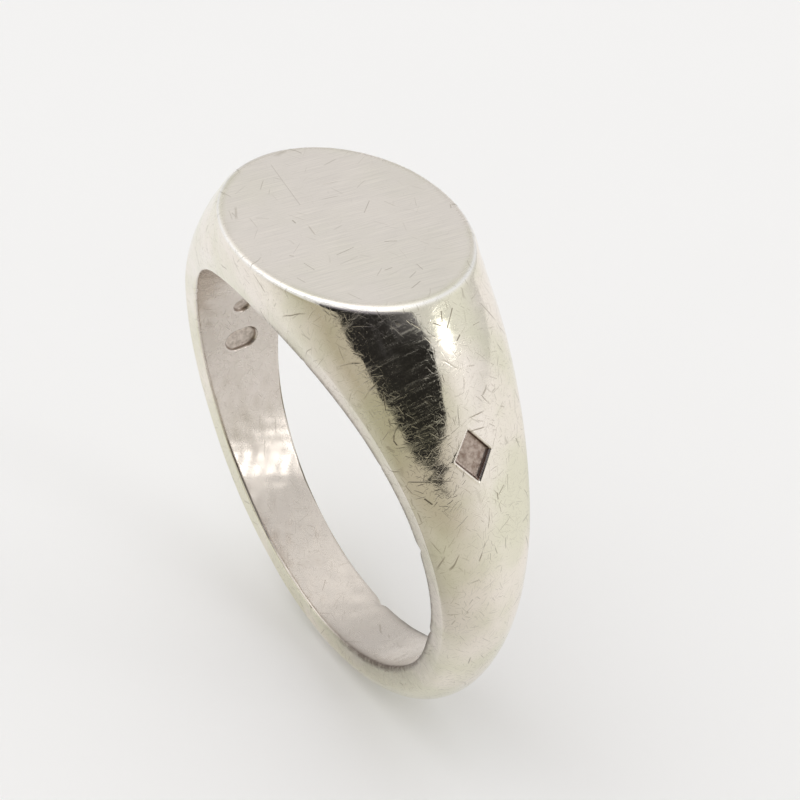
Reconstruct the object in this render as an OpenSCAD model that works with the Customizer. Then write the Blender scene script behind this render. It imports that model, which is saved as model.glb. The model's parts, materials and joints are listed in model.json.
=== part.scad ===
// Signet ring: a flat oval table on heavy shoulders that taper into a slim shank.
// The finger bore runs along Y through the origin, and the table faces up, +Z.
//
// The hoop is drawn as sections across the band. Each section lies in a plane through the
// bore axis, at an angle measured from +Z, and is a dome that stands on two straight rims.
// Under the table the dome is tall enough to pass through the table's oval outline, and
// the table's plane cuts it off there.

/* [Finger] */
// Inside diameter of the ring
bore_d = 18; // [16:0.5:21]

/* [Table] */
// Length of the oval table, across the finger
table_length = 12; // [11:0.5:13]
// Width of the oval table, along the finger
table_width = 9; // [8.5:0.5:10]
// Metal between the bore and the middle of the table
table_thickness = 2.3; // [2:0.1:3]

/* [Band] */
// Width of the band at the bore, under the table
head_width = 8.5; // [7.5:0.1:8.5]
// Width of the band at the back of the finger
back_width = 2.9; // [2.5:0.1:4]
// Thickness of the band at the sides of the finger
side_thickness = 1.6; // [1.4:0.1:2]
// Thickness of the band at the back of the finger
back_thickness = 2; // [1.4:0.1:2.4]
// Height of the straight rim at each edge of the bore
rim_thickness = 0.9; // [0.6:0.1:1.1]

/* [Shoulders] */
// Share of the taper that runs evenly round the hoop; the rest stays near the table
even_taper = 0.7; // [0.5:0.05:1]
// Angle from the table's middle at which the shoulders have become an even band
shoulder_angle = 72; // [64:1:84]
// Angle over which the sides stop leaning out to the table's edge
flare_angle = 36; // [28:1:44]
// Dome shape under the table: 1 is an ellipse, and more is more peaked
head_dome = 1.3; // [1:0.1:1.5]
// Dome shape at the back of the finger
back_dome = 1.4; // [1:0.1:1.5]

/* [Solder seams] */
// Angle from the table's middle to each of the two seams
seam_angle = 120; // [105:1:140]
// Thickness of the solder in each seam
solder_thickness = 0.08; // [0.05:0.01:0.15]

/* [Punch marks] */
// Angle from the table's middle to the lozenge on the outside
lozenge_angle = 56; // [50:1:70]
// Length of the lozenge, round the hoop
lozenge_length = 2; // [1.2:0.1:2.4]
// Width of the lozenge, along the finger
lozenge_width = 1.5; // [0.8:0.1:1.8]
// Angle to the oval mark on the inside, on the side away from the lozenge
oval_angle = -89; // [-100:1:-86]
// Length of the oval mark
oval_length = 1.5; // [1.2:0.1:1.8]
// Width of the oval mark
oval_width = 1; // [0.6:0.1:1.1]
// Angle to the round mark on the inside
dot_angle = -76; // [-80:1:-60]
// Diameter of the round mark
dot_d = 0.8; // [0.4:0.1:1]
// Depth of every mark
mark_depth = 0.18; // [0.1:0.02:0.24]

/* [Hidden] */
$fn = 48;
silver = [0.80, 0.79, 0.76];
solder_grey = [0.68, 0.68, 0.66];

bore_r = bore_d / 2;
core_r = bore_r - 1;
rim_r = bore_r + rim_thickness;
table_z = bore_r + table_thickness;
table_end = atan(table_length / 2 / table_z);
seam_half = asin(solder_thickness / 2 / bore_r);

// The dome under the middle of the table is this much wider than the table at its plane
widest_dome = 1.02;
// The smallest share of a dome's height that the table may leave
least_share = 0.01;
// Angle past which the table's plane is too far away to lean towards
plane_limit = 85;

// Points on each half of a dome, crowded towards the rims where it curves most
dome_steps = 10;
dome_crowding = 1.5;
dome_turns = [
    for (i = [-dome_steps : dome_steps])
        sign(i) * 90 * (1 - pow(1 - abs(i) / dome_steps, dome_crowding))
];
outline_step = 7.5;
shoulder_steps = 20;
shank_steps = 24;

function clamp(x) = max(0, min(1, x));
function smooth(x) = x * x * x * (x * (6 * x - 15) + 10);

// 1 at the table, 0 at the back of the finger
function headward(a) = pow(cos(a / 2), 4);

// Distance from the bore axis to a level plane, along the middle of a section
function level_r(a, z) = z / cos(min(abs(a), plane_limit));

// Half the width of the band at the bore
function half_width(a) =
    let (near = pow(headward(a), 3))
    (back_width + (head_width - back_width) * (even_taper * headward(a) + (1 - even_taper) * near)) / 2;

// How far each side leans out on the way from the bore to the table's plane
function flare(a) = (widest_dome * table_width - head_width) / 2 * exp(-pow(a / flare_angle, 2));

// Half the width of a section at radius r, if its side were straight
function side_y(a, r) = half_width(a) + flare(a) * (r - bore_r) / (level_r(a, table_z) - bore_r);

function dome_power(a) = back_dome + (head_dome - back_dome) * headward(a);

// Square of the oval's half width where a section crosses it; negative past its end
function oval_y2(a) =
    pow(table_width / 2, 2) * (1 - pow(table_z * tan(min(abs(a), plane_limit)) * 2 / table_length, 2));

// Crown of a dome that passes through the table's outline
function head_crown(a) =
    let (share = 1 - oval_y2(a) / pow(half_width(a) + flare(a), 2))
    rim_r + (level_r(a, table_z) - rim_r) / pow(max(least_share, share), dome_power(a) / 2);

// Crown of the even band at the sides and the back of the finger
function band_crown(a) =
    bore_r + back_thickness + (side_thickness - back_thickness) * clamp(1 + cos(a));

function crown(a) =
    let (blend = smooth(clamp((abs(a) - table_end) / (shoulder_angle - table_end))))
    head_crown(a) * (1 - blend) + band_crown(a) * blend;

// A point of a section's dome, as [radius, y]; turn runs from -90 at one rim to 90 at the other
function dome_point(a, turn) =
    let (r = rim_r + (crown(a) - rim_r) * pow(cos(turn), dome_power(a)))
    [r, side_y(a, r) * sin(turn)];

// The section's closed outline, from inside the bore up one side and down the other
function section(a) = concat(
    [[core_r, -side_y(a, core_r)]],
    [for (turn = dome_turns) dome_point(a, turn)],
    [[core_r, side_y(a, core_r)]]
);

function reverse(list) = [for (i = [len(list) - 1 : -1 : 0]) list[i]];
function same(count, value) = [for (i = [1 : count]) value];

// The length of hoop that passes through a section at each of the angles
module hoop(angles) {
    rings = [for (a = angles) [for (p = section(a)) [p[0] * sin(a), p[1], p[0] * cos(a)]]];
    count = len(rings[0]);
    last = count * (len(angles) - 1);
    walls = [
        for (i = [0 : len(angles) - 2], j = [0 : count - 1])
            let (p = i * count + j, q = i * count + (j + 1) % count)
            each [[p, q, q + count], [p, q + count, p + count]]
    ];
    // Each end is a flat strip that the bore cuts through, and the dome above it
    dome_end = [for (j = [1 : count - 2]) j];
    first_end = [[count - 1, count - 2, 1, 0], reverse(dome_end)];
    last_end = [[0, 1, count - 2, count - 1] + same(4, last), dome_end + same(count - 2, last)];
    polyhedron([for (ring = rings) each ring], concat(walls, first_end, last_end));
}

function evenly(from, to, steps) = [for (i = [0 : steps]) from + (to - from) * i / steps];

module finger_bore() {
    rotate([90, 0, 0]) cylinder(r = bore_r, h = 2 * table_width, center = true, $fn = 180);
}

module above_table() {
    translate([0, 0, table_z + table_width]) cube([2 * table_length, 2 * table_width, 2 * table_width], center = true);
}

// Puts a flat mark on the hoop: its face looks along the section's middle line, leant over
module on_hoop(a, r, lean = 0) {
    rotate([0, a, 0]) translate([0, 0, r]) rotate([0, lean, 0]) children();
}

// Slope of the crown line at an angle, as the tilt of its normal
function crown_lean(a) = -atan((crown(a + 1) - crown(a - 1)) / (2 * crown(a)) * 180 / PI);

module lozenge_mark() {
    on_hoop(lozenge_angle, crown(lozenge_angle), crown_lean(lozenge_angle))
        translate([0, 0, -mark_depth])
        linear_extrude(1)
        polygon([[lozenge_length / 2, 0], [0, lozenge_width / 2], [-lozenge_length / 2, 0], [0, -lozenge_width / 2]]);
}

module oval_mark() {
    span = oval_length - oval_width;
    on_hoop(oval_angle, bore_r + mark_depth)
        translate([0, 0, -1])
        linear_extrude(1)
        union() {
            square([oval_width, span], center = true);
            for (y = [-span, span]) translate([0, y / 2]) circle(d = oval_width);
        }
}

module dot_mark() {
    on_hoop(dot_angle, bore_r + mark_depth - 1) cylinder(d = dot_d, h = 1);
}

// The head: table and shoulders in one piece, down to the two seams
module signet_head() {
    seam = seam_angle - seam_half;
    color(silver) difference() {
        hoop(concat(
            evenly(-seam, -table_end, shoulder_steps),
            [for (u = [outline_step - 90 : outline_step : 90 - outline_step]) atan(tan(table_end) * sin(u))],
            evenly(table_end, seam, shoulder_steps)
        ));
        finger_bore();
        above_table();
        lozenge_mark();
        oval_mark();
        dot_mark();
    }
}

// The slim back of the hoop, from seam to seam
module shank() {
    seam = seam_angle + seam_half;
    color(silver) difference() {
        hoop(evenly(seam, 360 - seam, shank_steps));
        finger_bore();
    }
}

// A film of solder in each of the two seams
module solder_joints() {
    color(solder_grey) for (middle = [seam_angle, 360 - seam_angle]) difference() {
        hoop([middle - seam_half, middle + seam_half]);
        finger_bore();
    }
}

signet_head();
shank();
solder_joints();
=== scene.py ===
import json
import math

import bmesh
import bpy
import numpy as np
from mathutils import Matrix, Vector
from mathutils.kdtree import KDTree


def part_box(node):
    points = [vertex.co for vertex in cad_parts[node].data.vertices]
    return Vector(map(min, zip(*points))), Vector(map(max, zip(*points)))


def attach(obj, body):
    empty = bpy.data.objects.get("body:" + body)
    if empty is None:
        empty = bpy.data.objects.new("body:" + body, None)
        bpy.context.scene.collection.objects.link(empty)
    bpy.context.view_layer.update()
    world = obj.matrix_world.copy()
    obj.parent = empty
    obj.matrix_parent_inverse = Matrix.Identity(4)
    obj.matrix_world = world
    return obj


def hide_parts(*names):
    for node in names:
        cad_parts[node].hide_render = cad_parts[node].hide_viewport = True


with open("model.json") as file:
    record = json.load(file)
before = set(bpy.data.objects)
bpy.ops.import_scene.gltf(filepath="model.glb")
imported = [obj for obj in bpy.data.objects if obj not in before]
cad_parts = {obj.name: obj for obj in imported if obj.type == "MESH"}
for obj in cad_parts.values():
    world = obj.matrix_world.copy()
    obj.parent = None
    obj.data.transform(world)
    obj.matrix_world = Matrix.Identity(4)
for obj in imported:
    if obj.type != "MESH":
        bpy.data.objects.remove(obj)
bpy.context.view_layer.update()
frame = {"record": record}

# The looks of a worn silver signet ring. Lengths are in millimetres until a mesh or a stage
# object is made. A hoop angle is in radians, from +Z towards +X round the finger's axis, which
# is Y. A turn runs across the band, from -90 to 90 degrees.
MM = 0.001
rad = math.radians

# ---------------------------------------------------------------- shape, as the frame has it
mounts = {m["name"]: m for m in frame["record"]["mounts"]}
BORE_R = mounts["finger_bore"]["dims"]["r_mm"]
HEAD_WIDTH = mounts["finger_bore"]["dims"]["length_mm"]
TABLE_Z = mounts["table"]["pos_m"][2] / MM
TABLE_LENGTH = 12.0
TABLE_WIDTH = 9.0
BACK_WIDTH = 2.9
SIDE_THICKNESS = 1.6
FLOOR_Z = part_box("shank")[0].z / MM
BACK_THICKNESS = -FLOOR_Z - BORE_R
RIM_THICKNESS = 0.9
RIM_R = BORE_R + RIM_THICKNESS
EVEN_TAPER = 0.7
HEADWARD_POWER = 4
STEEP_POWER = 3
SHOULDER_ANGLE = rad(72)
FLARE_ANGLE = rad(36)
HEAD_DOME = 1.3
BACK_DOME = 1.4
WIDEST_DOME = 1.02
LEAST_SHARE = 0.01
NORMAL_STEP = 1e-4
PLANE_LIMIT = rad(85)
SEAM_ANGLE = rad(120)
SOLDER_THICKNESS = 0.08
SEAM_HALF = math.asin(SOLDER_THICKNESS / 2 / BORE_R)
TABLE_END = math.atan(TABLE_LENGTH / 2 / TABLE_Z)

LOZENGE_ANGLE = rad(56)
OVAL_ANGLE = rad(-89)
DOT_ANGLE = rad(-76)
MARK_DEPTH = 0.18
LOZENGE_LENGTH, LOZENGE_WIDTH = 2.0, 1.5
OVAL_LENGTH, OVAL_WIDTH = 1.5, 1.0
DOT_WIDTH = 0.8


def headward(a):
    """1 at the head, and 0 at the back."""
    return np.cos(a / 2) ** HEADWARD_POWER


def half_width(a):
    steep = headward(a) ** STEEP_POWER
    taper = EVEN_TAPER * headward(a) + (1 - EVEN_TAPER) * steep
    return (BACK_WIDTH + (HEAD_WIDTH - BACK_WIDTH) * taper) / 2


def flare(a):
    """How much wider than the bore the outside would be, each side, at the table's height."""
    return (WIDEST_DOME * TABLE_WIDTH - HEAD_WIDTH) / 2 * np.exp(-((a / FLARE_ANGLE) ** 2))


def level_r(a):
    """Radius of the table's plane."""
    return TABLE_Z / np.cos(np.minimum(abs(a), PLANE_LIMIT))


def side_y(a, r):
    return half_width(a) + flare(a) * (r - BORE_R) / (level_r(a) - BORE_R)


def dome_power(a):
    return BACK_DOME + (HEAD_DOME - BACK_DOME) * headward(a)


def smoother(x):
    """0 up to 0, 1 from 1 on, and smooth between."""
    x = np.clip(x, 0, 1)
    return x**3 * (x * (6 * x - 15) + 10)


def crown(a):
    """Radius of the outside at the middle of the band, before the table cuts it off."""
    across = TABLE_Z * np.tan(np.minimum(abs(a), PLANE_LIMIT)) * 2 / TABLE_LENGTH
    oval_y2 = (TABLE_WIDTH / 2) ** 2 * (1 - across**2)
    share = np.maximum(LEAST_SHARE, 1 - oval_y2 / (half_width(a) + flare(a)) ** 2)
    head = RIM_R + (level_r(a) - RIM_R) / share ** (dome_power(a) / 2)
    even = np.clip(1 + np.cos(a), 0, 1)
    band = BORE_R + BACK_THICKNESS + (SIDE_THICKNESS - BACK_THICKNESS) * even
    blend = smoother((abs(a) - TABLE_END) / (SHOULDER_ANGLE - TABLE_END))
    return head * (1 - blend) + band * blend


def at(a, r, y):
    """Points at hoop angle a and radius r, and y along the finger."""
    return np.stack(np.broadcast_arrays(r * np.sin(a), y, r * np.cos(a)), -1)


def polar(points):
    """Hoop angle and radius of each point."""
    return np.arctan2(points[:, 0], points[:, 2]), np.hypot(points[:, 0], points[:, 2])


def bore_edge(a, side):
    return at(a, BORE_R, side * half_width(a))


def dome(a, turn):
    """Points of the outside."""
    r = RIM_R + (crown(a) - RIM_R) * np.clip(np.cos(turn), 0, 1) ** dome_power(a)
    return at(a, r, side_y(a, r) * np.sin(turn))


def dome_normal(a, turn):
    h = NORMAL_STEP
    n = np.cross(dome(a + h, turn) - dome(a - h, turn), dome(a, turn + h) - dome(a, turn - h))
    n /= np.linalg.norm(n, axis=-1, keepdims=True)
    outward = (n * at(a, 1.0, 0.0)).sum(-1, keepdims=True)
    return n * np.where(outward < 0, -1, 1)


# ---------------------------------------------------------------- grids over the ring
FINE = 1.0
ACROSS = 2 * round(90 * FINE)
FRONT = 2 * round(120 * FINE)
SHOULDER_STEPS = round(300 * FINE)
SHANK_STEPS = round(320 * FINE)
FILM_STEPS = 2
COLLAR_ROWS = round(64 * FINE)
TABLE_RINGS = round(40 * FINE)
WALL_ROWS = round(20 * FINE)
BORE_COLUMNS = 2 * round(44 * FINE)
HEAD_SPLIT = rad(40)
CORNER = rad(62)
COLLAR_CROWDING = 1.5
WELDS_PER_MM = 1e5
TURNS = np.linspace(-math.pi / 2, math.pi / 2, ACROSS + 1)
OUTSIDE, TABLE, WALL, BORE = range(4)


class Skin:
    """Grids of points that share their edges, welded into one closed surface."""

    def __init__(self):
        self.grids, self.zones, self.faces, self.count = [], [], [], 0

    def add(self, points, zone, closed=False):
        rows, columns = points.shape[:2]
        i, j = np.meshgrid(np.arange(rows - 1), np.arange(columns - (not closed)), indexing="ij")
        k = (j + 1) % columns
        corners = [i * columns + j, i * columns + k, (i + 1) * columns + k, (i + 1) * columns + j]
        self.faces.append(np.stack(corners, -1).reshape(-1, 4) + self.count)
        self.grids.append(points.reshape(-1, 3))
        self.zones.append(np.full(rows * columns, zone))
        self.count += rows * columns

    def add_hoop(self, angles):
        """The two side walls and the bore along a run of hoop angles."""
        a = angles[:, None]
        down = np.linspace(1, 0, WALL_ROWS + 1)[None, :]
        r = BORE_R + (RIM_R - BORE_R) * down**2
        for side in (-1, 1):
            self.add(at(a, r, side * side_y(a, r)), WALL)
        across = np.sin(np.linspace(-math.pi / 2, math.pi / 2, BORE_COLUMNS + 1))[None, :]
        self.add(at(a, BORE_R, half_width(a) * across), BORE)

    def weld(self):
        points = np.concatenate(self.grids)
        places = np.round(points * WELDS_PER_MM).astype(np.int64)
        _, first, index = np.unique(places, axis=0, return_index=True, return_inverse=True)
        corners = index.reshape(-1)[np.concatenate(self.faces)].tolist()
        faces = [list(dict.fromkeys(face)) for face in corners]
        return points[first], np.concatenate(self.zones)[first], [f for f in faces if len(f) > 2]


def table_outline(u):
    """Hoop angle and turn of the table's edge, at angle u round the oval from the front."""
    a = np.arctan2(TABLE_LENGTH / 2 * np.sin(u), TABLE_Z)
    y = -TABLE_WIDTH / 2 * np.cos(u)
    return a, np.arcsin(np.clip(y / (half_width(a) + flare(a)), -1, 1))


def collar():
    """The outside round the table: from the table's edge out to a rectangle of angles."""
    front_u = np.linspace(-CORNER, CORNER, FRONT, endpoint=False)
    side_u = np.linspace(CORNER, math.pi - CORNER, ACROSS, endpoint=False)
    u = np.concatenate([front_u, side_u, front_u + math.pi, side_u + math.pi])
    a0, turn0 = table_outline(u)
    along = np.linspace(-HEAD_SPLIT, HEAD_SPLIT, FRONT, endpoint=False)
    a1 = np.concatenate([along, np.full(ACROSS, HEAD_SPLIT), -along, np.full(ACROSS, -HEAD_SPLIT)])
    turn1 = np.concatenate([np.full(FRONT, TURNS[0]), TURNS[:-1],
                            np.full(FRONT, TURNS[-1]), -TURNS[:-1]])
    out = np.linspace(0, 1, COLLAR_ROWS + 1)[:, None] ** COLLAR_CROWDING
    return dome(a0 + (a1 - a0) * out, turn0 + (turn1 - turn0) * out)


def head_skin():
    seam = SEAM_ANGLE - SEAM_HALF
    skin = Skin()
    rows = collar()
    skin.add(rows, OUTSIDE, closed=True)
    shoulder = np.linspace(HEAD_SPLIT, seam, SHOULDER_STEPS + 1)
    skin.add(dome(shoulder[:, None], TURNS[None, :]), OUTSIDE)
    skin.add(dome(-shoulder[:, None], TURNS[None, :]), OUTSIDE)
    size = 1 - np.linspace(0, 1, TABLE_RINGS + 1)[:, None, None] ** 2
    skin.add(rows[0] * [1, 1, 0] * size + [0, 0, TABLE_Z], TABLE, closed=True)
    middle = np.linspace(-HEAD_SPLIT, HEAD_SPLIT, FRONT + 1)
    skin.add_hoop(np.concatenate([-shoulder[:0:-1], middle, shoulder[1:]]))
    return skin


def hoop_skin(start, stop, steps):
    angles = np.linspace(start, stop, steps + 1)
    skin = Skin()
    skin.add(dome(angles[:, None], TURNS[None, :]), OUTSIDE)
    skin.add_hoop(angles)
    return skin


# ---------------------------------------------------------------- wear on the surface
TABLE_ROUNDING = 0.25
BORE_ROUNDING = 0.16
EDGE_SAMPLES = 1440

# How deep below the table the wear of its edge may reach, and a distance that no wear reaches.
EDGE_SEARCH = 1
FAR = 9.0

# The marks: how soft their walls are, and the lip of metal that the punch pushed up.
MARK_SOFT = 0.11
LIP_HEIGHT, LIP_GAP, LIP_WIDTH = 0.012, 0.06, 0.05

# Waves of the whole surface: height, shortest and longest wave, and seed.
WAVES = ((0.006, 2.5, 7, 1), (0.0012, 0.5, 1.4, 2))
WAVE_COUNT = 40
BORE_WAVINESS = 5

DENT_SEED = 4
DENT_COUNT = 150
DENT_ANGLE = rad(170)
DENT_ACROSS = 0.97
DENT_BELOW_TABLE = 0.5
DENT_REACH_SQUARED = 0.7
DENT_LENGTHS, DENT_WIDTHS, DENT_DEPTHS = (0.1, 0.3), (0.04, 0.09), (0.001, 0.003)

# Nicks in the bore's rims: hoop angle in degrees, side and size.
NICKS = ((75, -1, 0.2), (104.6, -1, 0.17), (22, -1, 0.1), (52, -1, 0.1), (177.7, 1, 0.25),
         (-60, -1, 0.12))
NICK_DEPTH = 0.35

SATIN_BORDER = 0.5
BURNISH_WIDTH = 0.10
SEAM_TOLERANCE = rad(0.01)

# Soil at the bore's edge, as reach up the wall and reach along the bore: a thin dark line, and
# a wider stain that grows down the hoop. Both fade on the side away from +X.
LINE_REACH, STAIN_REACH = (0.32, 0.2), (0.9, 0.3)
STAIN_LEAST, STAIN_GROWTH, STAIN_FROM = 0.25, 0.25, rad(40)
SOIL_START, SOIL_SPAN = -2, 6


def rounding(x, reach):
    """How far a corner's edge moves in from both of its sides, at x of the reach from it."""
    return reach * (np.clip(1 - x, 0, 1) / 2) ** 2


def round_table_edge(points, zone):
    """Rounds the table's edge. Returns how far inside and how far from the edge each point is."""
    u = np.linspace(-math.pi, math.pi, EDGE_SAMPLES + 1)[:-1]
    a, turn = table_outline(u)
    edge = dome(a, turn)
    along = np.roll(edge, -1, 0) - np.roll(edge, 1, 0)
    inward = np.cross([0, 0, 1], along)
    down = np.cross(along, dome_normal(a, turn))
    for v in (inward, down):
        v /= np.linalg.norm(v, axis=1, keepdims=True)
    inward *= -np.sign((inward * edge).sum(1, keepdims=True))
    down *= -np.sign(down[:, 2:])
    tree = KDTree(len(edge))
    for i, p in enumerate(edge):
        tree.insert(p, i)
    tree.balance()
    inside, edge_gap = np.zeros(len(points)), np.full(len(points), FAR)
    for i in np.flatnonzero((points[:, 2] > TABLE_Z - EDGE_SEARCH) & (zone < WALL)):
        _, k, distance = tree.find(points[i])
        inside[i] = distance if zone[i] == TABLE else 0
        edge_gap[i] = distance
        if distance < TABLE_ROUNDING:
            move = rounding(distance / TABLE_ROUNDING, TABLE_ROUNDING)
            points[i] += move * (inward[k] + down[k])
    return inside, edge_gap


def round_bore_edges(points, zone):
    a, r = polar(points)
    gap = np.where(zone == BORE, half_width(a) - abs(points[:, 1]), r - BORE_R)
    move = np.where(zone >= WALL, rounding(gap / BORE_ROUNDING, BORE_ROUNDING), 0)
    points += at(a, move, -np.sign(points[:, 1]) * move)


def ripple(points, shortest, longest, seed):
    """A smooth random height, about 1 high, whose waves lie between two lengths."""
    rng = np.random.default_rng(seed)
    way = rng.normal(size=(WAVE_COUNT, 3))
    way /= np.linalg.norm(way, axis=1, keepdims=True)
    length = np.exp(rng.uniform(math.log(shortest), math.log(longest), WAVE_COUNT))
    phase = rng.uniform(0, 2 * math.pi, WAVE_COUNT)
    height = np.zeros(len(points))
    for k in range(WAVE_COUNT):
        height += np.cos(points @ (way[k] * 2 * math.pi / length[k]) + phase[k])
    return height / math.sqrt(WAVE_COUNT)


def local(points, centre, along, normal):
    """Coordinates of points near a mark: along the hoop, across it, and out of it."""
    across = np.cross(normal, along)
    away = points - centre
    return away @ along, away @ across, away @ normal


def lozenge(p, q):
    """Distance outside the lozenge. The next two say the same of the oval and the dot."""
    half_length, half_wide = LOZENGE_LENGTH / 2, LOZENGE_WIDTH / 2
    steepness = math.hypot(1 / half_length, 1 / half_wide)
    return (abs(p) / half_length + abs(q) / half_wide - 1) / steepness


def oval(p, q):
    straight = (OVAL_LENGTH - OVAL_WIDTH) / 2
    return np.hypot(p, np.maximum(abs(q) - straight, 0)) - OVAL_WIDTH / 2


def dot(p, q):
    return np.hypot(p, q) - DOT_WIDTH / 2


def punch(points, normals, centre, normal, outline):
    """Sinks a punched mark. Returns how deep in the mark each point is, from 0 to 1."""
    along = np.cross([0, 1, 0], normal)
    p, q, out = local(points, centre, along, normal)
    edge = np.where(abs(out) < 1, outline(p, q), FAR)
    sunk = smoother(0.5 - edge / MARK_SOFT)
    lip = LIP_HEIGHT * np.exp(-((np.maximum(edge, 0) - LIP_GAP) / LIP_WIDTH) ** 2) * (edge > 0)
    points += normals * (lip - MARK_DEPTH * sunk)[:, None]
    return sunk


def knock(points, normals):
    """Small knocks scattered over the outside, and a few nicks in the rims of the bore."""
    rng = np.random.default_rng(DENT_SEED)
    a = rng.uniform(-DENT_ANGLE, DENT_ANGLE, DENT_COUNT)
    turn = np.arcsin(rng.uniform(-DENT_ACROSS, DENT_ACROSS, DENT_COUNT))
    centres = [(dome(a[k], turn[k]), dome_normal(a[k], turn[k])) for k in range(DENT_COUNT)]
    centres = [c for c in centres if c[0][2] < TABLE_Z - DENT_BELOW_TABLE]
    for centre, normal in centres:
        near = np.flatnonzero(((points - centre) ** 2).sum(1) < DENT_REACH_SQUARED)
        along = np.cross(normal, rng.normal(size=3))
        along /= np.linalg.norm(along)
        p, q, _ = local(points[near], centre, along, normal)
        length, width = rng.uniform(*DENT_LENGTHS), rng.uniform(*DENT_WIDTHS)
        depth = rng.uniform(*DENT_DEPTHS) * np.exp(-((p / length) ** 2) - (q / width) ** 2)
        points[near] -= normals[near] * depth[:, None]
    for degrees, side, size in NICKS:
        centre = bore_edge(rad(degrees), side)
        near = np.exp(-((points - centre) ** 2).sum(1) / size**2)
        depth = NICK_DEPTH * size
        points += near[:, None] * at(rad(degrees), depth, -side * depth)


def level_at_seams(points, normals):
    """Turns the normals at the seams square to the hoop, so that neighbours agree there."""
    a, _ = polar(points)
    hoop = np.stack([np.cos(a), 0 * a, -np.sin(a)], -1)
    at_seam = abs(abs(abs(a) - SEAM_ANGLE) - SEAM_HALF) < SEAM_TOLERANCE
    normals -= hoop * (at_seam * (normals * hoop).sum(1))[:, None]
    normals /= np.linalg.norm(normals, axis=1, keepdims=True)


def soil(points):
    """How dirty each point is, beside the bore's edges."""
    a, r = polar(points)
    gap = half_width(a) - abs(points[:, 1])
    line, stain = (np.exp(-(((r - BORE_R) / up_wall) ** 2) - (gap / along_bore) ** 2)
                   for up_wall, along_bore in (LINE_REACH, STAIN_REACH))
    stain *= STAIN_LEAST + STAIN_GROWTH * smoother((a - STAIN_FROM) / STAIN_FROM)
    return np.maximum(line, stain) * smoother((points[:, 0] - SOIL_START) / SOIL_SPAN)


def age(mesh, zone):
    """Wears a new mesh in place, and stores its masks for the material."""
    points = np.empty(len(mesh.vertices) * 3)
    mesh.vertices.foreach_get("co", points)
    points = points.reshape(-1, 3) / MM
    normals = np.empty(points.size, np.float32)
    mesh.vertex_normals.foreach_get("vector", normals)
    normals = normals.reshape(-1, 3).astype(float)
    inside, edge_gap = round_table_edge(points, zone)
    satin = smoother(inside / SATIN_BORDER)
    burnish = np.exp(-((edge_gap / BURNISH_WIDTH) ** 2))
    level_at_seams(points, normals)
    round_bore_edges(points, zone)
    height = sum(high * ripple(points, shortest, longest, seed)
                 for high, shortest, longest, seed in WAVES)
    height[zone == BORE] *= BORE_WAVINESS
    points += normals * (height * (1 - satin))[:, None]
    knock(points, normals)
    recess = np.zeros(len(points))
    marks = [
        (dome(LOZENGE_ANGLE, 0.0), dome_normal(LOZENGE_ANGLE, 0.0), lozenge),
        (at(OVAL_ANGLE, BORE_R, 0.0), -at(OVAL_ANGLE, 1.0, 0.0), oval),
        (at(DOT_ANGLE, BORE_R, 0.0), -at(DOT_ANGLE, 1.0, 0.0), dot),
    ]
    for centre, normal, outline in marks:
        recess = np.maximum(recess, punch(points, normals, centre, normal, outline))
    masks = {"satin": satin, "burnish": burnish, "recess": recess, "rim": soil(points),
             "bore": zone == BORE}
    mesh.vertices.foreach_set("co", (points * MM).ravel())
    for name, values in masks.items():
        layer = mesh.attributes.new(name, "FLOAT", "POINT")
        layer.data.foreach_set("value", values.astype(np.float32))
    mesh.update()


def link(name, data):
    """A new object in the scene."""
    obj = bpy.data.objects.new(name, data)
    bpy.context.scene.collection.objects.link(obj)
    return obj


def piece(name, skins, material):
    """One object from skins whose two ends are open; each end gets a flat cap."""
    points, zones, faces, count = [], [], [], 0
    for skin in skins:
        p, z, f = skin.weld()
        points.append(p)
        zones.append(z)
        faces += [[i + count for i in face] for face in f]
        count += len(p)
    points, zones = np.concatenate(points), np.concatenate(zones)
    mesh = bpy.data.meshes.new(name)
    mesh.from_pydata((points * MM).tolist(), [], faces)
    bm = bmesh.new()
    bm.from_mesh(mesh)
    ends = [e for e in bm.edges if e.is_boundary]
    caps = bmesh.ops.holes_fill(bm, edges=ends, sides=0)["faces"]
    for edge in ends:
        edge.smooth = False
    bmesh.ops.recalc_face_normals(bm, faces=bm.faces)
    for face in bm.faces:
        face.smooth = True
    for face in caps:
        face.smooth = False
    bm.to_mesh(mesh)
    bm.free()
    age(mesh, zones)
    obj = link(name, mesh)
    obj.data.materials.append(material)
    return obj


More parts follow.
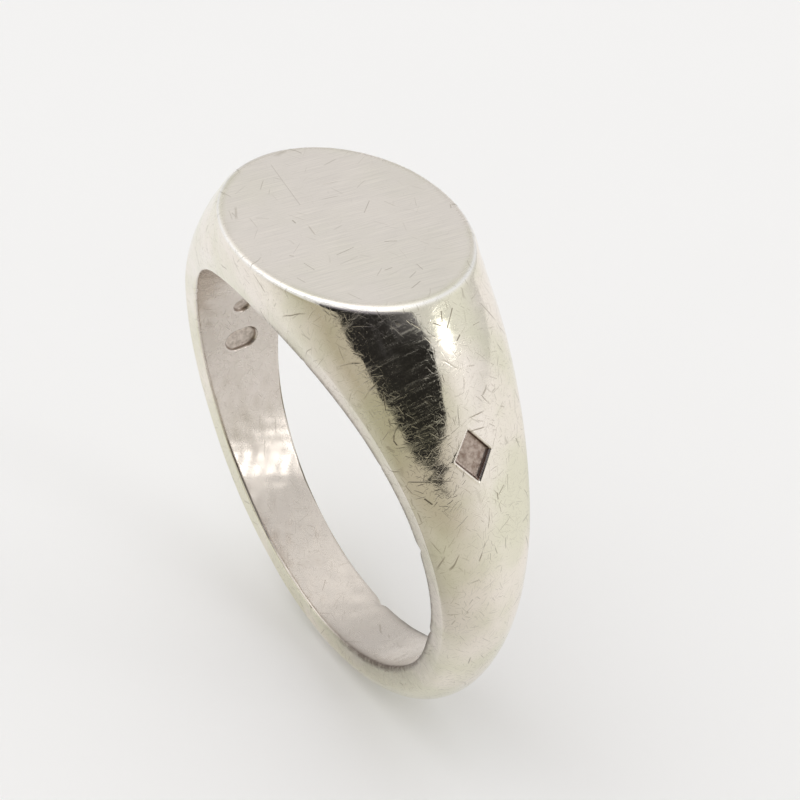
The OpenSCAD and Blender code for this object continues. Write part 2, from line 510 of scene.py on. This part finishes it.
# ---------------------------------------------------------------- materials
class Nodes:
    """Short ways to add nodes to a tree. A value may be a socket, a number or a tuple."""

    def __init__(self, tree):
        self.tree = tree
        tree.nodes.clear()

    def add(self, kind, inputs=(), output=0, **settings):
        node = self.tree.nodes.new("ShaderNode" + kind)
        for key, value in settings.items():
            setattr(node, key, value)
        for key, value in dict(inputs).items():
            self.plug(node.inputs[key], value)
        return node.outputs[output] if output is not None else node

    def plug(self, socket, value):
        if isinstance(value, bpy.types.NodeSocket):
            self.tree.links.new(value, socket)
        else:
            socket.default_value = value

    def math(self, operation, a, b=0.0, c=0.0):
        return self.add("Math", {0: a, 1: b, 2: c}, operation=operation)

    def vector(self, operation, a, b=(0, 0, 0), output=0):
        return self.add("VectorMath", {0: a, 1: b}, output, operation=operation)

    def step(self, value, start, stop, low=0.0, high=1.0):
        """low up to start, high from stop on, and smooth between."""
        return self.add("MapRange", {0: value, 1: start, 2: stop, 3: low, 4: high},
                        interpolation_type="SMOOTHSTEP")

    def window(self, value, low, high, soft):
        rise = self.step(value, low - soft, low + soft)
        fall = self.step(value, high - soft, high + soft, 1.0, 0.0)
        return self.math("MULTIPLY", rise, fall)

    def noise(self, place, scale, detail=2.0, roughness=0.5):
        inputs = {"Vector": place, "Scale": scale, "Detail": detail, "Roughness": roughness}
        return self.add("TexNoise", inputs)

    def patches(self, place, scale, detail, roughness, start, stop, low=0.0, high=1.0):
        """Random patches at the low and high level, with soft borders."""
        return self.step(self.noise(place, scale, detail, roughness), start, stop, low, high)

    def scaled(self, vector, scale):
        result = self.add("VectorMath", {0: vector}, operation="SCALE")
        self.plug(result.node.inputs["Scale"], scale)
        return result

    def mix(self, factor, a, b, blend="MIX"):
        node = self.add("Mix", output=None, data_type="RGBA", blend_type=blend)
        self.plug(node.inputs[0], factor)
        for socket, value in ((node.inputs[6], a), (node.inputs[7], b)):
            if isinstance(value, tuple):
                value = (*value, 1.0)
            self.plug(socket, value)
        return node.outputs[2]

    def surface(self, shader):
        self.add("OutputMaterial", {"Surface": shader}, None)

    def shine(self, colour):
        return self.add("Emission", {"Color": colour, "Strength": 1.0})


def new_material(name):
    material = bpy.data.materials.new(name)
    material.use_nodes = True
    return material, Nodes(material.node_tree)


# How a scratch follows from its cell's random values: what share of the given half width and
# reach it has at least, and what the values add to that. Its force, from 0 to 1, does the same.
OFFSET_WAY = (1.0, 0.37, -0.61)
HALF_WIDTH_LEAST, HALF_WIDTH_MORE = 0.5, 1.0
REACH_LEAST, REACH_MORE = 0.4, 0.9
FORCE_LEAST, FORCE_MORE = 0.2, 0.8
SIDE_STEEPNESS, END_STEEPNESS = 1.4, 2.0


def scratches(n, place, cell, width, reach, share, offset):
    """Short cuts in all directions, one at most in each cell: up to 1 in a cut and 0 off it."""
    moved = n.vector("ADD", place, tuple(offset * way for way in OFFSET_WAY))
    cells = n.add("TexVoronoi", {"Vector": moved, "Scale": 1 / cell}, None)
    away = n.vector("SUBTRACT", moved, cells.outputs["Position"])
    draw = n.add("TexWhiteNoise", {"Vector": cells.outputs["Color"]}, None)
    way = n.vector("NORMALIZE", n.vector("SUBTRACT", draw.outputs["Color"], (0.5, 0.5, 0.5)))
    fate = n.add("SeparateXYZ", {0: cells.outputs["Color"]}, None)
    off = n.math("ABSOLUTE", n.vector("DOT_PRODUCT", away, way, "Value"))
    broad = n.math("MULTIPLY_ADD", fate.outputs["Y"], width * HALF_WIDTH_MORE,
                   width * HALF_WIDTH_LEAST)
    line = n.math("MULTIPLY_ADD", n.math("DIVIDE", off, broad), -SIDE_STEEPNESS, SIDE_STEEPNESS)
    far = n.vector("LENGTH", away, output="Value")
    long = n.math("MULTIPLY_ADD", fate.outputs["Z"], reach * REACH_MORE, reach * REACH_LEAST)
    ends = n.math("MULTIPLY_ADD", n.math("DIVIDE", far, long), -END_STEEPNESS, END_STEEPNESS)
    line = n.add("Clamp", {0: n.math("MINIMUM", line, ends)})
    force = n.math("MULTIPLY_ADD", fate.outputs["X"], FORCE_MORE, FORCE_LEAST)
    there = n.math("MULTIPLY", n.math("LESS_THAN", draw.outputs["Value"], share), force)
    return n.math("MULTIPLY", line, there)


# Scratches: cell size, half width and reach in millimetres, share of cells with one, depth in
# millimetres, darkness, and an offset that makes each kind fall elsewhere. The first FINE_KINDS
# are worn away in patches.
FINE_KINDS = 3
SCRATCHES = [
    (0.12, 0.011, 0.12, 0.90, 0.0010, 0.26, 41.7),
    (0.22, 0.014, 0.20, 0.95, 0.0012, 0.44, 3.1),
    (0.36, 0.017, 0.30, 0.90, 0.0020, 0.60, 17.3),
    (0.75, 0.022, 0.42, 0.65, 0.0032, 0.85, 12.9),
    (1.90, 0.028, 0.60, 0.55, 0.0050, 0.95, 23.3),
]

# The plainest scratches of the head, read off the photo: hoop angle and turn at each end, in
# degrees, then half width in millimetres and darkness, which is negative in a bright one. Those
# on the table have x and y in millimetres in place of the angles.
CUT_DEPTH = 0.004
HEAD_CUTS = [
    (29.4, -17.1, 34.2, -9.2, 0.020, -0.8), (30.2, -15.3, 31.4, -12.2, 0.020, -0.6),
    (30.1, 3.1, 31.6, 1.7, 0.030, 0.9), (30.2, 10.6, 32.9, 3.3, 0.032, 0.9),
    (31.4, -3.9, 32.4, 0.7, 0.026, 0.8), (34.6, 10.2, 35.3, 7.2, 0.034, 0.9),
    (35.6, 3.9, 36.7, 13.0, 0.016, 0.45),
    (33.7, 21.9, 33.4, 27.6, 0.022, 0.7), (34.6, -53.6, 35.6, -43.9, 0.020, 0.7),
    (46.5, -56.7, 47.5, -59.5, 0.028, 0.95), (47.5, -59.5, 48.5, -58.5, 0.028, 0.95),
    (38.2, -48.8, 41.4, -53.2, 0.024, 0.7), (61.1, -54.0, 62.6, -48.4, 0.040, 0.85),
    (65.4, 14.8, 66.7, 14.8, 0.030, 0.9), (46.5, -70.8, 45.5, -60.9, 0.018, 0.7),
]
TABLE_CUTS = [
    (-5.1, -0.3, -2.0, -0.8, 0.022, 0.30), (-0.2, 1.0, -0.8, 1.6, 0.020, 0.45),
    (-2.1, -2.7, -1.8, -2.3, 0.018, 0.35), (-2.9, -3.3, -2.6, -3.3, 0.030, 0.35),
    (-1.2, -1.6, -1.0, -1.6, 0.040, 0.50), (1.7, -1.4, 1.6, -0.6, 0.018, 0.60),
    (1.5, -2.7, 2.1, -2.6, 0.018, 0.55), (0.8, -2.9, 0.9, -2.8, 0.030, 0.50),
    (1.9, 0.6, 2.1, 1.0, 0.025, 0.60), (2.3, -1.6, 2.2, -0.8, 0.014, 0.40),
    (3.8, 0.8, 4.2, 0.8, 0.020, 0.50), (3.5, -0.4, 3.5, -0.1, 0.022, 0.55),
    (4.4, 0.1, 4.2, 0.5, 0.018, 0.50), (5.0, -0.2, 4.8, 0.3, 0.020, 0.60),
    (2.2, -3.4, 2.6, -3.3, 0.018, 0.50), (1.1, 4.1, 1.3, 4.0, 0.030, 0.40),
]
CUT_CORE = 0.35


def cut_line(n, place, start, end, half_wide):
    """1 along a straight scratch between two points, and 0 away from it."""
    length = (end - start).length
    along = (end - start) / length
    away = n.vector("SUBTRACT", place, tuple(start))
    reach = n.math("MAXIMUM", n.vector("DOT_PRODUCT", away, tuple(along), "Value"), 0.0)
    near = n.scaled(tuple(along), n.math("MINIMUM", reach, length))
    off = n.vector("DISTANCE", away, near, "Value")
    return n.step(off, half_wide * CUT_CORE, half_wide, 1.0, 0.0)


# Tones laid over the silver, and how much of each: on the table, in the bore, where the darker
# tone is painted shade for the inside of the ring, and on the table's burnished edge.
TABLE_TONE = ((0.77, 0.73, 0.685), 0.8)
BORE_SHADE_TONE = ((0.70, 0.64, 0.59), 0.9)
BURNISHED_TONE = ((0.99, 0.98, 0.965), 0.85)
SCRATCH_COLOUR = (0.27, 0.23, 0.17)
BRIGHT_CUT_COLOUR = (0.88, 0.76, 0.58)
SOIL_COLOUR = (0.13, 0.10, 0.08)

# In a mark: its floor where clean and where dirty, and its wall, painted dark as shade. Outside,
# then in the bore.
OUTER_FLOOR, OUTER_WALL_SHADE = ((0.60, 0.51, 0.45), (0.30, 0.22, 0.18)), (0.13, 0.08, 0.06)
BORE_FLOOR, BORE_WALL_SHADE = ((0.82, 0.75, 0.69), (0.58, 0.51, 0.45)), (0.36, 0.29, 0.24)
RECESS_STEP = (0.02, 0.5)

# Patches: scale per millimetre, detail, roughness, and where the noise steps from the low level
# to the high one, which follow if they aren't 0 and 1.
WORN_PATCHES = (0.4, 3.0, 0.5, 0.38, 0.62, 0.55, 1.0)
POLISH_PATCHES = (1.0, 4.0, 0.7, 0.44, 0.74)
SOIL_PATCHES = (4.0, 4.0, 0.7, 0.3, 0.6, 0.75, 1.0)
DIRT_PATCHES = (5.0, 4.0, 0.7, 0.35, 0.7)
DULL_PATCHES = (0.5, 4.0, 0.6, 0.42, 0.68)

# Tarnish comes in large patches. The colour also leans a little further to the tarnished one low
# on the ring, darker towards the bottom.
TARNISH_NOISE, TARNISH_STEP = (0.24, 3.0, 0.6), (0.38, 0.66)
DARKER_TOWARDS_BOTTOM = (-7.0, 1.0, 0.16, 0.0)

# How much less the scratches show in the bore and on the table, where the fine ones lose that
# share twice. They bend a little, and less so on the table.
BORE_SPARED, TABLE_SPARED = 0.55, 0.6
BEND_SCALE, BEND, TABLE_STRAIGHTER = 1.1, 0.18, 0.14

# The table's brushing: streaks per millimetre across their way and along it.
BRUSHED_WAY = (0.992, -0.122, 0.0)
STREAKS_ACROSS, STREAKS_ALONG = 32.0, 0.55
STREAK_NOISE = (1.0, 4.0, 0.65)
STREAK_TONE = 0.5

# Polishing marks on the shoulders run across the hoop, above these heights.
ARCS_PER_RADIAN, ARCS_ALONG = 110.0, 0.9
ARC_DRIFT = (0.9, 2.0)
POLISHED_FROM, POLISHED_ALL = 4.0, 9.0

# Small relief, in millimetres.
GRAIN_NOISE, GRAIN_HEIGHT = (9.0, 4.0, 0.75), 0.0008
LUMP_NOISE, LUMP_HEIGHT, TABLE_LUMPS_LESS = (1.6, 2.0, 0.5), 0.0014, 0.0011
STREAK_HEIGHT = 0.0022

# Roughness of the bare silver, and what each kind of wear adds.
BARE_ROUGHNESS, DULL_ROUGHNESS = 0.035, 0.06
TORN_ROUGHNESS, POLISH_ROUGHNESS, BRIGHT_CUT_ROUGHNESS = 0.22, 0.26, 0.5
RECESS_ROUGHNESS, SATIN_ROUGHNESS, BORE_ROUGHNESS, SOIL_ROUGHNESS = 0.3, 0.40, 0.20, 0.3


def wear_lines(n, place, satin, bore, cuts):
    """All scratches: how dark, how deep, how torn and how bright the silver is from them."""
    bend = n.add("TexNoise", {"Vector": place, "Scale": BEND_SCALE, "Detail": 1.0}, "Color")
    bow = n.math("MULTIPLY_ADD", satin, -TABLE_STRAIGHTER, BEND)
    bow = n.add("CombineXYZ", {0: bow, 1: bow, 2: bow})
    bent = n.add("VectorMath", {0: bend, 1: bow, 2: place}, operation="MULTIPLY_ADD")
    worn = n.patches(place, *WORN_PATCHES)
    on_table = n.math("MULTIPLY_ADD", satin, -TABLE_SPARED, 1.0)
    shown = n.math("MULTIPLY", n.math("MULTIPLY_ADD", bore, -BORE_SPARED, 1.0), on_table)
    fine_shown = n.math("MULTIPLY", n.math("MULTIPLY", shown, worn), on_table)

    dark, depth, torn, bright = 0.0, 0.0, 0.0, 0.0
    for k, (cell, width, reach, share, deep, darkness, offset) in enumerate(SCRATCHES):
        cut = n.math("MULTIPLY", scratches(n, bent, cell, width, reach, share, offset),
                     fine_shown if k < FINE_KINDS else shown)
        dark = n.math("MAXIMUM", dark, n.math("MULTIPLY", cut, darkness))
        depth = n.math("MULTIPLY_ADD", cut, deep, depth)
        torn = n.math("MAXIMUM", torn, cut)
    for start, end, half_wide, darkness in cuts:
        line = cut_line(n, place, start, end, half_wide)
        depth = n.math("MULTIPLY_ADD", line, CUT_DEPTH, depth)
        if darkness > 0:
            dark = n.math("MAXIMUM", dark, n.math("MULTIPLY", line, darkness))
        else:
            bright = n.math("MAXIMUM", bright, n.math("MULTIPLY", line, -darkness))
    return dark, depth, torn, bright


def mark_colour(n, place, recess, bore):
    """The colour in a mark. Its wall is where recess is near a half, and is 1 there; it is painted
    dark as shade.
    """
    dirt = n.patches(place, *DIRT_PATCHES)
    wall = n.math("MULTIPLY", n.math("MULTIPLY", recess, n.math("SUBTRACT", 1.0, recess)), 4.0)
    floor = n.mix(bore, n.mix(dirt, *OUTER_FLOOR), n.mix(dirt, *BORE_FLOOR))
    # The mark's wall gets a darker colour: painted shade.
    return n.mix(wall, floor, n.mix(bore, OUTER_WALL_SHADE, BORE_WALL_SHADE))


def silver(name, clean, tarnished, cuts=()):
    """Worn silver: scratched all over, dirty in the marks, and brushed where satin is 1."""
    material, n = new_material(name)
    place = n.scaled(n.add("TexCoord", output="Object"), 1 / MM)
    x, y, z = (n.add("SeparateXYZ", {0: place}, key) for key in "XYZ")
    satin, burnish, recess, rim, bore = (n.add("Attribute", attribute_name=key, output="Fac")
                                         for key in ("satin", "burnish", "recess", "rim", "bore"))
    dark, depth, torn, bright = wear_lines(n, place, satin, bore, cuts)

    grain = n.noise(place, *GRAIN_NOISE)
    lumps = n.noise(place, *LUMP_NOISE)
    brushed = n.vector("DOT_PRODUCT", place, BRUSHED_WAY, "Value")
    streak_place = n.add("CombineXYZ", {"X": n.math("MULTIPLY", brushed, STREAKS_ACROSS),
                                        "Y": n.math("MULTIPLY", y, STREAKS_ALONG)})
    streaks = n.math("SUBTRACT", n.noise(streak_place, *STREAK_NOISE), 0.5)
    streaks = n.math("MULTIPLY", streaks, satin)
    angle = n.math("ARCTAN2", x, z)
    arc_place = n.add("CombineXYZ", {"X": n.math("MULTIPLY", angle, ARCS_PER_RADIAN),
                                     "Y": n.math("MULTIPLY", y, ARCS_ALONG),
                                     "Z": n.noise(place, *ARC_DRIFT)})
    polish = n.math("MULTIPLY", n.patches(arc_place, *POLISH_PATCHES),
                    n.step(z, POLISHED_FROM, POLISHED_ALL))
    polish = n.math("MULTIPLY", polish, n.math("SUBTRACT", 1.0, satin))

    height = n.math("MULTIPLY", depth, -1.0)
    height = n.math("MULTIPLY_ADD", grain, GRAIN_HEIGHT, height)
    lump_height = n.math("MULTIPLY_ADD", satin, -TABLE_LUMPS_LESS, LUMP_HEIGHT)
    height = n.math("MULTIPLY_ADD", lumps, lump_height, height)
    height = n.math("MULTIPLY_ADD", streaks, STREAK_HEIGHT, height)
    bump = n.add("Bump", {"Height": height, "Strength": 1.0, "Distance": MM})

    # The height step makes the colour darker towards the bottom.
    tint = n.math("ADD", n.noise(place, *TARNISH_NOISE), n.step(z, *DARKER_TOWARDS_BOTTOM))
    colour = n.mix(n.step(tint, *TARNISH_STEP), clean, tarnished)
    # In the bore the darker tone is painted shade for the inside of the ring.
    for mask, (tone, share) in ((satin, TABLE_TONE), (bore, BORE_SHADE_TONE), (burnish, BURNISHED_TONE)):
        colour = n.mix(n.math("MULTIPLY", mask, share), colour, tone)
    colour = n.mix(1.0, colour, n.math("MULTIPLY_ADD", streaks, STREAK_TONE, 1.0), "MULTIPLY")
    colour = n.mix(dark, colour, SCRATCH_COLOUR)
    colour = n.mix(bright, colour, BRIGHT_CUT_COLOUR)
    soiled = n.math("MULTIPLY", rim, n.patches(place, *SOIL_PATCHES))
    colour = n.mix(soiled, colour, SOIL_COLOUR)
    in_mark = n.step(recess, *RECESS_STEP)
    colour = n.mix(in_mark, colour, mark_colour(n, place, recess, bore))

    rough = n.math("MULTIPLY_ADD", n.patches(place, *DULL_PATCHES), DULL_ROUGHNESS, BARE_ROUGHNESS)
    for mask, more in ((torn, TORN_ROUGHNESS), (polish, POLISH_ROUGHNESS),
                       (bright, BRIGHT_CUT_ROUGHNESS), (recess, RECESS_ROUGHNESS),
                       (satin, SATIN_ROUGHNESS), (bore, BORE_ROUGHNESS), (soiled, SOIL_ROUGHNESS)):
        rough = n.math("MULTIPLY_ADD", mask, more, rough)
    n.surface(n.add("BsdfPrincipled", {"Base Color": colour, "Metallic": 1.0, "Roughness": rough,
                                       "Normal": bump}))
    return material


# ---------------------------------------------------------------- the ring
def on_head(a, turn):
    return Vector(dome(rad(a), rad(turn)))


def on_table(x, y):
    return Vector((x, y, TABLE_Z))


cuts = [(on_head(a0, t0), on_head(a1, t1), *rest) for a0, t0, a1, t1, *rest in HEAD_CUTS]
cuts += [(on_table(x0, y0), on_table(x1, y1), *rest) for x0, y0, x1, y1, *rest in TABLE_CUTS]
CLEAN, TARNISHED = (0.93, 0.865, 0.785), (0.80, 0.775, 0.63)
head = piece("ring_head", [head_skin()], silver("head_silver", CLEAN, TARNISHED, cuts))
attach(head, "root")
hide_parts("signet_head")

shank_skin = hoop_skin(SEAM_ANGLE + SEAM_HALF, 2 * math.pi - SEAM_ANGLE - SEAM_HALF, SHANK_STEPS)
shank = piece("ring_shank", [shank_skin], silver("shank_silver", CLEAN, TARNISHED))
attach(shank, "root")
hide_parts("shank")

films = [hoop_skin(seam - SEAM_HALF, seam + SEAM_HALF, FILM_STEPS)
         for seam in (-SEAM_ANGLE, SEAM_ANGLE)]
solder_clean, solder_tarnished = (0.91, 0.845, 0.75), (0.79, 0.76, 0.61)
solder = piece("solder_films", films, silver("silver_solder", solder_clean, solder_tarnished))
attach(solder, "root")
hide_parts("solder_joints")


# ---------------------------------------------------------------- floor, light and camera
def direction(azimuth, elevation):
    """Unit vector towards an azimuth from -Y towards +X, in degrees, and an elevation."""
    a, e = rad(azimuth), rad(elevation)
    return Vector((math.sin(a) * math.cos(e), -math.cos(a) * math.cos(e), math.sin(e)))


def stage_piece(name, points, faces, material):
    mesh = bpy.data.meshes.new(name)
    mesh.from_pydata([tuple(Vector(p) * MM) for p in points], [], faces)
    mesh.materials.append(material)
    obj = link(name, mesh)
    return obj


def board(name, corners, material):
    return stage_piece(name, corners, [range(len(corners))], material)


def fence(name, azimuths, reach, bottom, top, material):
    """A wall round the ring, from a height at its foot to a height at its top."""
    feet = [direction(a, 0) * reach for a in azimuths]
    points = [(p.x, p.y, z) for p in feet for z in (bottom, top)]
    faces = [(2 * k, 2 * k + 2, 2 * k + 3, 2 * k + 1) for k in range(len(feet) - 1)]
    return stage_piece(name, points, faces, material)


def hide_from(obj, *rays):
    for ray in rays:
        setattr(obj, "visible_" + ray, False)


CAMERA_AZIMUTH, CAMERA_ELEVATION, CAMERA_ROLL = 57.144, 38.178, 0.259
CAMERA_DISTANCE = 87.234
CAMERA_RIGHT, CAMERA_UP = 2.134, 2.132
CAMERA_LENS = 94.74

back = direction(CAMERA_AZIMUTH, CAMERA_ELEVATION)
right = direction(CAMERA_AZIMUTH + 90, 0)
up = back.cross(right)
target = right * CAMERA_RIGHT + up * CAMERA_UP

SENSOR_WIDTH = 36
NEAREST, FARTHEST = 1, 10000
camera_data = bpy.data.cameras.new("camera")
camera_data.sensor_width = SENSOR_WIDTH
camera_data.lens = CAMERA_LENS
camera_data.clip_start = NEAREST * MM
camera_data.clip_end = FARTHEST * MM
camera = link("camera", camera_data)
camera.location = (target + back * CAMERA_DISTANCE) * MM
roll = rad(CAMERA_ROLL)
axes = (right * math.cos(roll) + up * math.sin(roll),
        up * math.cos(roll) - right * math.sin(roll), back)
camera.rotation_euler = Matrix(axes).transposed().to_euler()
bpy.context.scene.camera = camera

AIR_COLOURS = (0.885, 0.878, 0.872), (0.893, 0.886, 0.88)
AIR_SCALE = 3.0


def pale_air():
    """The pale haze that the floor runs into."""
    material, n = new_material("pale_air")
    place = n.add("TexCoord", output="Object")
    n.surface(n.shine(n.mix(n.noise(place, AIR_SCALE), *AIR_COLOURS)))
    return material


BACKDROP_REACH = 780
BACKDROP_TOP = 900
BACKDROP_AZIMUTHS = range(0, 361, 6)
backdrop = fence("backdrop", BACKDROP_AZIMUTHS, BACKDROP_REACH, FLOOR_Z, BACKDROP_TOP, pale_air())
hide_from(backdrop, "diffuse", "glossy", "shadow")

FLOOR_SIDE = 800
FLOOR_COLOUR = (0.93, 0.927, 0.925)
FLOOR_SHADE = 0.985
FLOOR_NOISE = (60.0, 3.0)
FLOOR_ROUGHNESS = 0.9


def pale_floor():
    material, n = new_material("pale_floor")
    place = n.add("TexCoord", output="Object")
    darker = tuple(c * FLOOR_SHADE for c in FLOOR_COLOUR)
    shade = n.mix(n.noise(place, *FLOOR_NOISE), darker, FLOOR_COLOUR)
    n.surface(n.add("BsdfPrincipled", {"Base Color": shade, "Roughness": FLOOR_ROUGHNESS}))
    return material


square = ((-1, -1), (1, -1), (1, 1), (-1, 1))
board("floor", [(x * FLOOR_SIDE, y * FLOOR_SIDE, FLOOR_Z) for x, y in square], pale_floor())

# The dark flag behind the camera, right and up as the camera sees it. Only the silver shows it,
# as its dark patch. Further down, a glowing sheet that only the silver shows is a painted
# reflection of the shaded floor in front: the silver's yellowish side.
FLAG = [(-92, -30), (-50, -28), (-32, -43), (0, -49), (22, -53), (40, -55), (62, -57.5), (76, -57),
        (86, -54), (92, -51), (92, -44), (84, -24), (76, -3), (58, 12), (38, 24), (20, 42),
        (-10, 46), (-50, 40), (-84, 20)]
FLAG_DISTANCE = 92
FLAG_BLACK = (0.019, 0.018, 0.017)
# The flag glows a little: painted glints of a lens, and a paler painted glow to its top.
LENS_GLINT_GLOW = (0.08, 0.078, 0.085)
LENS_RING = (11 * MM, 15 * MM, 4 * MM)
LENS_PATCHES = (120.0, 4.0, 0.7, 0.46, 0.62)
FLAG_TOP_GLOW = (0.36, 0.35, 0.39)
FLAG_TOP_STEP = (-2 * MM, 34 * MM)


def flag_material():
    """Black, with faint painted glints of a lens round the line of sight, and a painted glow that
    makes it paler to its top.
    """
    material, n = new_material("dark_flag")
    middle = tuple(back * FLAG_DISTANCE * MM)
    place = n.vector("SUBTRACT", n.add("TexCoord", output="Object"), middle)
    away = n.vector("LENGTH", place, output="Value")
    above = n.vector("DOT_PRODUCT", place, tuple(up), "Value")
    glints = n.math("MULTIPLY", n.window(away, *LENS_RING), n.patches(place, *LENS_PATCHES))
    # The glints and the paler top are painted light: the flag glows there.
    shade = n.mix(glints, FLAG_BLACK, LENS_GLINT_GLOW)
    n.surface(n.shine(n.mix(n.step(above, *FLAG_TOP_STEP), shade, FLAG_TOP_GLOW)))
    return material


corners = [back * FLAG_DISTANCE + right * x + up * y for x, y in FLAG]
flag = board("dark_flag", corners, flag_material())

# A glowing sheet on the floor in front and a curved wall up from its far edge, seen only by the
# silver: a painted reflection of the shaded floor in front of the ring.
PAINTED_REFLECTION_REACH = 300
PAINTED_REFLECTION_AZIMUTH = 42
PAINTED_REFLECTION_TOP = 24
PAINTED_REFLECTION_FADE = 9
PAINTED_REFLECTION_STEP = 10
PAINTED_REFLECTION_LIFT = 0.05

# Where the painted reflection shows: past this distance from the ring, past this cosine of the
# angle from its azimuth, and below its top.
PAINTED_REFLECTION_NEAR = (12 * MM, 22 * MM)
PAINTED_REFLECTION_AHEAD = (0.12, 0.8)
PAINTED_REFLECTION_END = (math.sin(rad(PAINTED_REFLECTION_TOP - PAINTED_REFLECTION_FADE)), math.sin(rad(PAINTED_REFLECTION_TOP)), 1.0, 0.0)

# Its painted shades of the reflected floor from below the ring to the horizon, with the sines of
# the elevations between them.
REFLECTED_SHADE_BELOW = (0.58, 0.565, 0.545)
REFLECTED_SHADE_MIDDLE = (0.63, 0.61, 0.54)
REFLECTED_SHADE_FAR = (0.46, 0.425, 0.325)
MIDDLE_STEP, FAR_STEP = (-0.7, -0.2), (-0.2, 0.02)
REFLECTED_SHADE_PATCHES = (3.0, 2.0, 0.5, 0.35, 0.65, 0.0, 0.35)
REFLECTED_PATCH_SHADE = (0.52, 0.50, 0.42)


def painted_reflection_material():
    """Glows dull and yellowish: a painted reflection of the shaded floor. It fades out near the
    ring, to both sides, and at its top.
    """
    material, n = new_material("dull_cloth")
    place = n.add("TexCoord", output="Object")
    way = n.vector("NORMALIZE", place)
    ahead = n.vector("DOT_PRODUCT", way, tuple(direction(PAINTED_REFLECTION_AZIMUTH, 0)), "Value")
    height = n.add("SeparateXYZ", {0: way}, "Z")
    cover = n.math("MULTIPLY", n.step(n.vector("LENGTH", place, output="Value"), *PAINTED_REFLECTION_NEAR),
                   n.step(ahead, *PAINTED_REFLECTION_AHEAD))
    cover = n.math("MULTIPLY", cover, n.step(height, *PAINTED_REFLECTION_END))
    # Painted shade of the reflected floor, darker towards the horizon, with patches.
    reflected_shade = n.mix(n.step(height, *MIDDLE_STEP), REFLECTED_SHADE_BELOW, REFLECTED_SHADE_MIDDLE)
    reflected_shade = n.mix(n.step(height, *FAR_STEP), reflected_shade, REFLECTED_SHADE_FAR)
    reflected_shade = n.mix(n.patches(way, *REFLECTED_SHADE_PATCHES), reflected_shade, REFLECTED_PATCH_SHADE)
    clear = n.add("BsdfTransparent")
    n.surface(n.add("MixShader", {0: cover, 1: clear, 2: n.shine(reflected_shade)}))
    return material


# The painted reflection of the shaded floor: a glowing sheet on the floor and a wall round its far
# edge.
dull_cloth = painted_reflection_material()
across = range(PAINTED_REFLECTION_AZIMUTH - 90, PAINTED_REFLECTION_AZIMUTH + 91, PAINTED_REFLECTION_STEP)
middle = Vector((0, 0, FLOOR_Z + PAINTED_REFLECTION_LIFT))
foot = [direction(azimuth, 0) * PAINTED_REFLECTION_REACH + middle for azimuth in across]
top = [direction(azimuth, PAINTED_REFLECTION_TOP) * PAINTED_REFLECTION_REACH for azimuth in across]
screens = [flag, board("dull_cloth", [middle, *foot], dull_cloth)]
for k in range(len(foot) - 1):
    screens.append(board("dull_curtain", [foot[k], foot[k + 1], top[k + 1], top[k]], dull_cloth))
for screen in screens:
    hide_from(screen, "camera", "diffuse", "shadow")

# Where the studio is bright: azimuth, elevation, spread in degrees, and strength. The base level
# and all strengths but the last were fitted to the photo's tones, then rounded.
GLOWS = [
    (0, 8, 16, 0.11), (30, 8, 16, 0.07), (60, 8, 16, 0.19), (90, 8, 16, 0.28),
    (120, 8, 16, 0.27), (150, 8, 16, 0.06), (210, 8, 16, 0.15), (270, 8, 16, 0.14),
    (300, 8, 16, 0.22), (330, 8, 16, 0.14), (40, 35, 20, 0.13), (160, 35, 20, 0.30),
    (200, 35, 20, 0.05), (280, 35, 20, 0.12), (320, 35, 20, 0.23),
    (60, 62, 16, 0.19), (240, 62, 16, 0.24), (300, 62, 16, 0.70), (0, 90, 16, 0.60),
    (121, 26, 3.0, 7.0),
]
BASE_LEVEL = 0.583
STUDIO_TINT = (1.0, 0.993, 0.985, 1)

world = bpy.data.worlds.new("studio")
bpy.context.scene.world = world
world.use_nodes = True
n = Nodes(world.node_tree)
sight = n.add("TexCoord", output="Generated")


def glow(azimuth, elevation, spread):
    """1 in one direction of the surroundings, and less with the angle from it."""
    toward = n.vector("DOT_PRODUCT", sight, tuple(direction(azimuth, elevation)), "Value")
    sharpness = 1 / rad(spread) ** 2
    return n.math("EXPONENT", n.math("MULTIPLY_ADD", toward, sharpness, -sharpness))


level = BASE_LEVEL
for azimuth, elevation, spread, strength in GLOWS:
    level = n.math("MULTIPLY_ADD", glow(azimuth, elevation, spread), strength, level)
background = n.add("Background", {"Color": STUDIO_TINT, "Strength": level})
n.add("OutputWorld", {"Surface": background}, None)
bpy.context.scene.view_settings.view_transform = "Standard"
